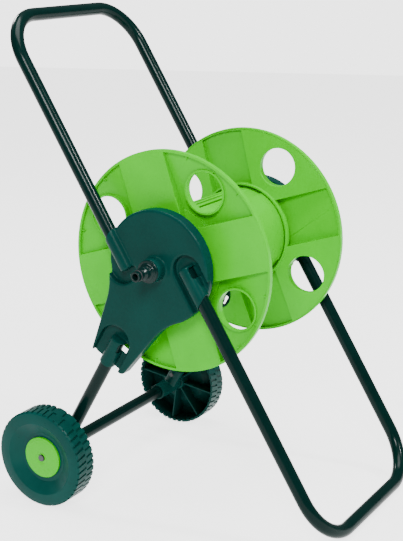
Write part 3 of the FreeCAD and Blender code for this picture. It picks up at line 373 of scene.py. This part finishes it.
def lay_floor(scene):
    bm = bmesh.new()
    bmesh.ops.create_grid(bm, x_segments=1, y_segments=1, size=FLOOR_HALF)
    bmesh.ops.translate(bm, verts=bm.verts, vec=(0.0, 0.0, -FLOOR_DROP))
    mesh = bpy.data.meshes.new("floor")
    bm.to_mesh(mesh)
    bm.free()
    floor = bpy.data.objects.new("floor", mesh)
    scene.collection.objects.link(floor)
    pale = finish("floor")
    shader = pale.node_tree.nodes["Principled BSDF"]
    shader.inputs["Emission Color"].default_value = WHITE
    shader.inputs["Emission Strength"].default_value = FLOOR_GLOW
    mesh.materials.append(pale)


def hang_lamps(scene):
    for name, place, size, power in LAMPS:
        data = bpy.data.lights.new(name, "AREA")
        data.shape = "SQUARE"
        data.size = size
        data.energy = power
        lamp = bpy.data.objects.new(name, data)
        lamp.location = place
        lamp.rotation_euler = (REEL - Vector(place)).to_track_quat("-Z", "Y").to_euler()
        scene.collection.objects.link(lamp)


def set_camera(scene):
    data = bpy.data.cameras.new("camera")
    data.sensor_width = CAMERA_SENSOR
    data.lens = CAMERA_LENS
    data.clip_start, data.clip_end = CAMERA_CLIP
    camera = bpy.data.objects.new("camera", data)
    scene.collection.objects.link(camera)
    back = Vector(CAMERA_BACK).normalized()
    level = Vector((-back.y, back.x, 0.0)).normalized()
    upright = back.cross(level)
    right = level * math.cos(CAMERA_ROLL) + upright * math.sin(CAMERA_ROLL)
    turn = Matrix((right, back.cross(right), back)).transposed()
    camera.matrix_world = Matrix.Translation(REEL + Vector(CAMERA_FROM_REEL)) @ turn.to_4x4()
    scene.camera = camera


# ---------------------------------------------------------------- CAD pieces that keep their shape
DARK_STEEL = ("socket_screws_left", "socket_screws_right", "connector_screws", "axle_rod")


class ReelCartFinishes(bpy.types.Operator):
    """Procedural finishes on every CAD piece."""

    bl_idname = "reel_cart.finishes"
    bl_label = "Finishes on the CAD pieces"

    def execute(self, context):
        for entry in frame["record"]["subparts"]:
            name = entry["node"]
            surface = frame["nodes"][name].data.materials
            surface.clear()
            surface.append(finish("dark_steel" if name in DARK_STEEL else entry["material_slot"]))
        return {"FINISHED"}


# ---------------------------------------------------------------- wheels
# Across a wheel or a cap, x runs outward and is 0 at the wheel's open side or at the cap's face.
WHEEL_WALL = 3.0 * MM
HUB_R = 14.0 * MM
AXLE_BORE_R = 5.05 * MM
DISH_ROOM = 6.6 * MM            # flat ring between the cap and the foot of the dish
DISH_SLOPE = 17.0 * MM          # how far out the dish's slope runs
INNER_ROW = (0.9 * MM, 16.4 * MM)
OUTER_ROW_START = 18.4 * MM
OUTER_ROW_END = 3.6 * MM        # from the outer face
SHOULDER = 2.6 * MM             # from the outer face
STEPS_PER_BLOCK = 3             # one of these steps round the tread is the groove
TREAD_BAND = 3.2 * MM           # faces this near to the full radius belong to the tread
GROOVE_RUN = 3.0 * MM           # how far the outer grooves run down the shoulder
ROW_STAGGER = 0.5               # of a block's pitch
GROOVE_SLANT = 0.32             # of a block's pitch, across one row
RIB_COUNT = 8
RIB_TURN = math.radians(10.0)
RIB_THICK = 2.5 * MM
RIB_EDGE = 0.4 * MM
RIB_REACH = 4.2 * MM            # the ribs' ends lie this far inside the tread
RIB_ROOT = 1.0 * MM             # and their roots this far inside the hub
HUB_STEPS = 48
CAP_STEPS = 96


def build_wheel(way, side):
    low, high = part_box("wheel_" + way)
    outer, inner = (low.x, high.x) if side < 0 else (high.x, low.x)
    radius = (high.z - low.z) / 2.0
    width = abs(outer - inner)
    cap_low, cap_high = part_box("hub_cap_" + way)
    cap_r = (cap_high.z - cap_low.z) / 2.0
    dish_in = width - min(abs(cap_low.x - outer), abs(cap_high.x - outer)) - (cap_high.x - cap_low.x)
    floor_r = cap_r + DISH_ROOM
    dish_r = floor_r + DISH_SLOPE
    wall = WHEEL_WALL
    rows = [0.0, *INNER_ROW, OUTER_ROW_START, width - OUTER_ROW_END, width - SHOULDER]
    skin = [(x, radius, 0.0) for x in rows]
    skin += [
        # shoulder, outer face and dish
        (width - 0.6 * MM, radius - 2.0 * MM, 0.0), (width, radius - 3.4 * MM, 0.0),
        (width, dish_r + 1.2 * MM, 0.0), (width - 0.9 * MM, dish_r, 0.9 * MM),
        (dish_in + 1.2 * MM, floor_r + 0.6 * MM, 1.6 * MM), (dish_in, cap_r - 2.0 * MM, 0.0),
        # back through the hub, and the inner side of the same walls
        (dish_in, HUB_R - 2.0 * MM, 0.0), (dish_in - wall, HUB_R - 2.0 * MM, 0.0),
        (dish_in - wall, floor_r + wall, 1.2 * MM), (width - wall, dish_r + wall, 1.2 * MM),
        (width - wall, radius - 4.6 * MM, 1.2 * MM), (0.8 * MM, radius - 4.4 * MM, 0.0),
        (0.0, radius - 3.6 * MM, 0.0), (0.0, radius - 0.9 * MM, 0.0),
    ]
    pitches = sizes().tread_pitches
    bm = spun(skin, pitches * STEPS_PER_BLOCK)
    cut_tread(bm, rows, radius, pitches)
    rib = [
        (wall, HUB_R - RIB_ROOT), (wall, radius - RIB_REACH), (width - 0.5 * wall, radius - RIB_REACH),
        (width - 0.5 * wall, dish_r + wall), (dish_in - 0.5 * wall, floor_r + wall),
        (dish_in - 0.5 * wall, HUB_R - RIB_ROOT),
    ]
    add_ribs(bm, rib)
    add_hub(bm, dish_in - 0.5 * wall)
    put(bm, inner, side)
    return keep(bm, "tread_wheel_" + way, way + "_wheel", "wheel_plastic", "wheel_" + way)


def cut_tread(bm, rows, radius, pitches):
    """Sinks two staggered, slanted rows of grooves in the tread."""
    pitch = math.tau / pitches
    inner_end, outer_start, outer_end = rows[2:5]
    sunk = []
    for face in bm.faces:
        centre = face.calc_center_median()
        if math.hypot(centre.y, centre.z) < radius - TREAD_BAND:
            continue
        step = int((math.atan2(centre.z, centre.y) % math.tau) / (pitch / STEPS_PER_BLOCK))
        in_a_row = centre.x < inner_end or outer_start < centre.x < outer_end + GROOVE_RUN
        if step % STEPS_PER_BLOCK == 0 and in_a_row:
            sunk.append(face)
    made = bmesh.ops.extrude_face_region(bm, geom=sunk)
    bmesh.ops.delete(bm, geom=sunk, context="FACES")
    depth = sizes().tread_depth
    for vert in fresh_verts(made):
        vert.co -= Vector((0.0, vert.co.y, vert.co.z)).normalized() * depth
    for vert in bm.verts:
        along = vert.co.x - inner_end
        stagger = ROW_STAGGER * max(0.0, min(1.0, along / (outer_start - inner_end)))
        slant = GROOVE_SLANT * (along / (outer_end - inner_end))
        vert.co = Matrix.Rotation(pitch * (stagger + slant), 3, "X") @ vert.co


def add_mesh(bm, part):
    """Adds a finished bmesh to another one, and gives back the new corners."""
    mesh = bpy.data.meshes.new("part")
    part.to_mesh(mesh)
    part.free()
    before = set(bm.verts)
    bm.from_mesh(mesh)
    bpy.data.meshes.remove(mesh)
    return [vert for vert in bm.verts if vert not in before]


def add_ribs(bm, profile):
    """The ribs on the wheel's open side."""
    rib = bmesh.new()
    face = rib.faces.new([rib.verts.new((x, r, 0.0)) for x, r in profile])
    bmesh.ops.translate(rib, verts=rib.verts, vec=(0.0, 0.0, -0.5 * RIB_THICK))
    made = bmesh.ops.extrude_face_region(rib, geom=[face])
    bmesh.ops.translate(rib, verts=fresh_verts(made), vec=(0.0, 0.0, RIB_THICK))
    bmesh.ops.recalc_face_normals(rib, faces=rib.faces)
    bmesh.ops.bevel(
        rib, geom=list(rib.edges), offset=RIB_EDGE, offset_type="OFFSET", segments=1, profile=0.5,
        affect="EDGES", clamp_overlap=True, material=-1)
    for k in range(RIB_COUNT):
        turn = Matrix.Rotation(math.tau * k / RIB_COUNT + RIB_TURN, 3, "X")
        bmesh.ops.rotate(bm, verts=add_mesh(bm, rib.copy()), cent=(0, 0, 0), matrix=turn)
    rib.free()


def add_hub(bm, depth):
    """The tube that turns on the axle rod."""
    add_mesh(bm, spun([
        (0.0, AXLE_BORE_R, 0.3 * MM), (0.0, HUB_R - 1.0 * MM, 0.0), (1.0 * MM, HUB_R, 0.0),
        (depth, HUB_R + 1.0 * MM, 0.0), (depth, AXLE_BORE_R, 0.0)], HUB_STEPS))


def build_hub_cap(way, side):
    """A domed cap with a rolled edge and a raised ring round the axle."""
    name = "hub_cap_" + way
    low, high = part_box(name)
    radius = (high.z - low.z) / 2.0
    depth = high.x - low.x
    bm = spun([
        (-depth, radius - 2.0 * MM, 0.0), (-depth, radius, 0.0), (-1.6 * MM, radius, 0.0),
        (-0.9 * MM, radius - 0.5 * MM, 0.5 * MM), (-0.9 * MM, radius - 1.4 * MM, 0.4 * MM),
        (-0.25 * MM, radius - 5.0 * MM, 3.0 * MM), (0.0, 14.0 * MM, 3.0 * MM), (-0.05 * MM, 9.5 * MM, 0.0),
        (-0.7 * MM, 8.0 * MM, 0.8 * MM), (-0.1 * MM, 6.8 * MM, 0.5 * MM), (-0.1 * MM, 5.6 * MM, 0.3 * MM),
        (-1.8 * MM, 5.6 * MM, 0.0), (-1.8 * MM, radius - 2.0 * MM, 0.0)], CAP_STEPS)
    put(bm, low.x if side < 0 else high.x, side)
    return keep(bm, "domed_cap_" + way, way + "_wheel", "lime_plastic", name)


class ReelCartWheels(bpy.types.Operator):
    """Treaded wheels with their snap-on hub caps."""

    bl_idname = "reel_cart.wheels"
    bl_label = "Wheels and caps"

    def execute(self, context):
        for way, side in SIDES:
            build_wheel(way, side)
            build_hub_cap(way, side)
        return {"FINISHED"}


# ---------------------------------------------------------------- moulded pieces and tubes
SOFTENED_FROM = math.radians(28.0)      # edges sharper than this are rounded
FLAT_WEIGHT = 80
PLATE_GRAIN = 1.0 * MM
SMALL_GRAIN = 0.7 * MM
PLATE_PROUD = 3.1 * MM                  # a plate's face beyond the tubes' centre line
COLLAR_GAP = 0.5 * MM                   # between a flange's collar and the barrel, as designed
COLLAR_FIND = 0.12 * MM
COLLAR_END = 0.2 * MM
SHADOW_GAP = 1.1 * MM                   # added to the collar's gap


def cast_copy(node_name, grain):
    """A CAD piece as one even skin of small quads, whose edges can be worn round."""
    mesh = bpy.data.meshes.new("cast")
    bm = merged(node_name)
    bm.to_mesh(mesh)
    bm.free()
    blank = bpy.data.objects.new("cast", mesh)
    bpy.context.scene.collection.objects.link(blank)
    remesh = blank.modifiers.new("skin", "REMESH")
    remesh.mode = "VOXEL"
    remesh.voxel_size = grain
    skin = bpy.data.meshes.new_from_object(blank.evaluated_get(bpy.context.evaluated_depsgraph_get()))
    bpy.data.objects.remove(blank)
    bpy.data.meshes.remove(mesh)
    bm = bmesh.new()
    bm.from_mesh(skin)
    bpy.data.meshes.remove(skin)
    return bm


def wear(bm, verts, times):
    """Rounds a skin by smoothing some of its corners."""
    for _ in range(times):
        bmesh.ops.smooth_vert(
            bm, verts=verts, factor=0.5, use_axis_x=True, use_axis_y=True, use_axis_z=True)


def flatten_normals(piece):
    """Large faces keep their own direction, and only the small edge faces shade round."""
    flats = piece.modifiers.new("flats", "WEIGHTED_NORMAL")
    flats.keep_sharp = True
    flats.weight = FLAT_WEIGHT


def build_cast(node_name, name, grain, times, share, soft_face=None, soft_times=0):
    """A worn skin of a CAD piece; soft_face is the x of a face whose edge is worn more.

    share is the part of the skin's triangles that is kept.
    """
    bm = cast_copy(node_name, grain)
    wear(bm, bm.verts[:], times)
    if soft_face is not None:
        soft = [vert for vert in bm.verts if abs(vert.co.x - soft_face) < sizes().plate_edge]
        wear(bm, soft, soft_times)
    piece = keep(bm, name, body_of(node_name), "dark_green_plastic", node_name)
    fewer = piece.modifiers.new("fewer", "DECIMATE")
    fewer.ratio = share
    flatten_normals(piece)


def widen_collar(bm):
    """Moves the collar's inner wall out, for a shadow gap round the barrel."""
    start, end = reach("barrel_panel_front")
    panel = frame["nodes"]["barrel_panel_front"].data
    barrel_r = max(math.hypot(vert.co.y - REEL.y, vert.co.z - REEL.z) for vert in panel.vertices)
    for vert in bm.verts:
        radius = math.hypot(vert.co.y - REEL.y, vert.co.z - REEL.z)
        on_the_wall = abs(radius - barrel_r - COLLAR_GAP) < COLLAR_FIND
        if on_the_wall and start - COLLAR_END < vert.co.x < end + COLLAR_END:
            grow = (radius + SHADOW_GAP) / radius
            vert.co.y = REEL.y + (vert.co.y - REEL.y) * grow
            vert.co.z = REEL.z + (vert.co.z - REEL.z) * grow


class ReelCartTubes(bpy.types.Operator):
    """Painted steel tubes: handle, foot bar, wheel legs and the tube between them."""

    bl_idname = "reel_cart.tubes"
    bl_label = "Painted tubes"

    def execute(self, context):
        for name in ("handle_tube", "foot_tube", "leg_tube_left", "leg_tube_right", "axle_tube"):
            keep(cad_copy(name), "painted_" + name, body_of(name), "tube_paint", name)
        return {"FINISHED"}


class ReelCartReel(bpy.types.Operator):
    """Both flanges and the four barrel panels, with softened edges."""

    bl_idname = "reel_cart.reel"
    bl_label = "Reel flanges and barrel"

    def execute(self, context):
        edge = sizes().mould_edge
        for way, _ in SIDES:
            bm = cad_copy("reel_flange_" + way)
            widen_collar(bm)
            soften(bm, SOFTENED_FROM, edge)
            flatten_normals(keep(bm, "flange_" + way, "reel", "lime_plastic", "reel_flange_" + way))
        for quarter in ("top", "front", "bottom", "back"):
            bm = cad_copy("barrel_panel_" + quarter)
            soften(bm, SOFTENED_FROM, 0.5 * edge)
            keep(bm, "barrel_" + quarter, "reel", "lime_plastic", "barrel_panel_" + quarter)
        return {"FINISHED"}


class ReelCartPlates(bpy.types.Operator):
    """Both side plates with their sockets and recesses."""

    bl_idname = "reel_cart.plates"
    bl_label = "Side plates"

    def execute(self, context):
        for way, side in SIDES:
            face = middle("leg_tube_" + way).x + side * PLATE_PROUD
            build_cast("side_plate_" + way, "plate_" + way, PLATE_GRAIN, 3, 0.45, face, 14)
        return {"FINISHED"}


# ---------------------------------------------------------------- water inlet, crank and connectors
SPIGOT_BORE_R = 4.8 * MM
SPIGOT_TUBE_R = 7.5 * MM
SPIGOT_THREAD_R = 12.0 * MM
SPIGOT_RING_R = 16.5 * MM
NIPPLE_R = 7.6 * MM
BARB_R = NIPPLE_R + 2.4 * MM            # the ridge that a quick connector snaps over
NECK_R = NIPPLE_R - 1.2 * MM            # the groove behind the nipple's head
SEAL_SEAT_R = NIPPLE_R - 1.3 * MM
SEAL_SEAT_HALF = 1.2 * MM
KNOB_BORE_R = 4.1 * MM
KNOB_SCREW_R = 7.6 * MM                 # the recess round the pin's head
KNOB_SCREW_DEPTH = 3.6 * MM
GRIP_RINGS = 4
TURNED_STEPS = 72


class ReelCartInlet(bpy.types.Operator):
    """Ringed inlet spigot with its quick-connect nipple."""

    bl_idname = "reel_cart.inlet"
    bl_label = "Water inlet"

    def execute(self, context):
        # distances out from the middle of the reel
        tip, inner = (REEL.x - x for x in reach("inlet_spigot"))
        nut = REEL.x - reach("inlet_nut")[1]
        boss = REEL.x - reach("side_plate_left")[0]
        seal = REEL.x - middle("inlet_seal").x
        bm = spun([
            # the fixed tube that the reel turns on, and the thread
            (inner, SPIGOT_BORE_R, 0.0), (inner, SPIGOT_TUBE_R, 0.0), (nut, SPIGOT_TUBE_R, 0.0),
            (nut, SPIGOT_THREAD_R, 0.3 * MM), (boss, SPIGOT_THREAD_R, 0.0),
            # the two rings against the plate
            (boss, SPIGOT_RING_R, 0.8 * MM), (boss + 1.5 * MM, SPIGOT_RING_R, 0.5 * MM),
            (boss + 1.9 * MM, SPIGOT_RING_R - 0.6 * MM, 0.3 * MM),
            (boss + 2.4 * MM, SPIGOT_RING_R, 0.5 * MM), (boss + 4.0 * MM, SPIGOT_RING_R, 0.8 * MM),
            # the shoulder
            (boss + 4.0 * MM, SPIGOT_THREAD_R + 0.6 * MM, 1.0 * MM),
            (boss + 6.0 * MM, SPIGOT_THREAD_R, 0.8 * MM), (boss + 6.6 * MM, 9.2 * MM, 0.8 * MM),
            # the nipple's ridge, neck and head
            (tip - 22.0 * MM, NIPPLE_R + 0.4 * MM, 0.6 * MM), (tip - 20.5 * MM, BARB_R, 0.5 * MM),
            (tip - 18.0 * MM, BARB_R, 0.5 * MM), (tip - 15.5 * MM, NECK_R, 1.0 * MM),
            (tip - 11.0 * MM, NECK_R, 0.6 * MM), (tip - 11.0 * MM, NIPPLE_R, 0.3 * MM),
            # the seal's seat, the tip and the bore
            (seal - SEAL_SEAT_HALF, NIPPLE_R, 0.2 * MM), (seal - SEAL_SEAT_HALF, SEAL_SEAT_R, 0.0),
            (seal + SEAL_SEAT_HALF, SEAL_SEAT_R, 0.0), (seal + SEAL_SEAT_HALF, NIPPLE_R, 0.2 * MM),
            (tip, NIPPLE_R, 0.9 * MM), (tip, SPIGOT_BORE_R, 0.6 * MM),
        ], TURNED_STEPS)
        put(bm, REEL.x, -1.0, REEL)
        keep(bm, "ringed_spigot", "frame", "fitting_plastic", "inlet_spigot")
        return {"FINISHED"}


class ReelCartCrank(bpy.types.Operator):
    """Crank arm with its turning knob."""

    bl_idname = "reel_cart.crank"
    bl_label = "Crank and knob"

    def execute(self, context):
        build_cast("crank_arm", "winding_arm", SMALL_GRAIN, 5, 0.5)
        low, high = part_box("crank_knob")
        radius = (high.z - low.z) / 2.0
        length = high.x - low.x
        corners = [
            # the collar beside the arm and the waist
            (0.0, KNOB_BORE_R, 0.0), (0.0, radius - 1.5 * MM, 0.8 * MM),
            (3.0 * MM, radius - 1.5 * MM, 1.0 * MM), (9.0 * MM, radius - 3.4 * MM, 6.0 * MM),
            (0.42 * length, radius - 1.2 * MM, 12.0 * MM),
        ]
        for k in range(GRIP_RINGS):
            at = (0.50 + 0.07 * k) * length
            corners += [
                (at, radius - 0.3 * MM, 0.6 * MM), (at + 0.9 * MM, radius - 1.0 * MM, 0.5 * MM),
                (at + 1.8 * MM, radius - 0.3 * MM, 0.6 * MM),
            ]
        corners += [
            # the rounded end, with the recess for the pin's head
            (0.82 * length, radius, 4.0 * MM), (length - 5.0 * MM, radius - 0.9 * MM, 3.0 * MM),
            (length, radius - 4.5 * MM, 2.0 * MM), (length, KNOB_SCREW_R + 0.1 * MM, 0.4 * MM),
            (length - KNOB_SCREW_DEPTH, KNOB_SCREW_R, 0.0), (length - KNOB_SCREW_DEPTH, KNOB_BORE_R, 0.0),
        ]
        centre = middle("crank_knob")
        bm = spun(corners, TURNED_STEPS, (low.x, centre.y, centre.z))
        keep(bm, "grip_knob", "knob", "knob_plastic", "crank_knob")
        return {"FINISHED"}


class ReelCartConnectors(bpy.types.Operator):
    """Tees that join the wheel legs to the axle tube."""

    bl_idname = "reel_cart.connectors"
    bl_label = "Axle connectors"

    def execute(self, context):
        for way, _ in SIDES:
            build_cast("axle_connector_" + way, "tee_" + way, SMALL_GRAIN, 4, 0.6)
        return {"FINISHED"}



class ReelCartPanel(bpy.types.Panel):
    """Everything that makes the cart, in the sidebar of the 3D view."""

    bl_idname = "VIEW3D_PT_reel_cart"
    bl_label = "Garden hose reel cart"
    bl_space_type = "VIEW_3D"
    bl_region_type = "UI"
    bl_category = "Reel cart"

    def draw(self, context):
        for group in (context.scene.reel_cart_sizes, context.scene.reel_cart_colours):
            box = self.layout.box()
            for name in group.bl_rna.properties.keys():
                if name not in ("rna_type", "name"):
                    box.prop(group, name)
        for step in STEPS:
            self.layout.operator(step.bl_idname)


STEPS = (
    ReelCartFinishes, ReelCartStage, ReelCartTubes, ReelCartWheels, ReelCartReel, ReelCartPlates,
    ReelCartInlet, ReelCartCrank, ReelCartConnectors,
)
CLASSES = (ReelCartColours, ReelCartSizes, *STEPS, ReelCartPanel)


def register():
    for cls in CLASSES:
        bpy.utils.register_class(cls)
    bpy.types.Scene.reel_cart_colours = bpy.props.PointerProperty(type=ReelCartColours)
    bpy.types.Scene.reel_cart_sizes = bpy.props.PointerProperty(type=ReelCartSizes)


def unregister():
    del bpy.types.Scene.reel_cart_sizes
    del bpy.types.Scene.reel_cart_colours
    for cls in reversed(CLASSES):
        bpy.utils.unregister_class(cls)


def main():
    register()
    bpy.ops.reel_cart.finishes()
    bpy.ops.reel_cart.stage()
    bpy.ops.reel_cart.tubes()
    bpy.ops.reel_cart.wheels()
    bpy.ops.reel_cart.reel()
    bpy.ops.reel_cart.plates()
    bpy.ops.reel_cart.inlet()
    bpy.ops.reel_cart.crank()
    bpy.ops.reel_cart.connectors()


if __name__ == "__main__":
    main()
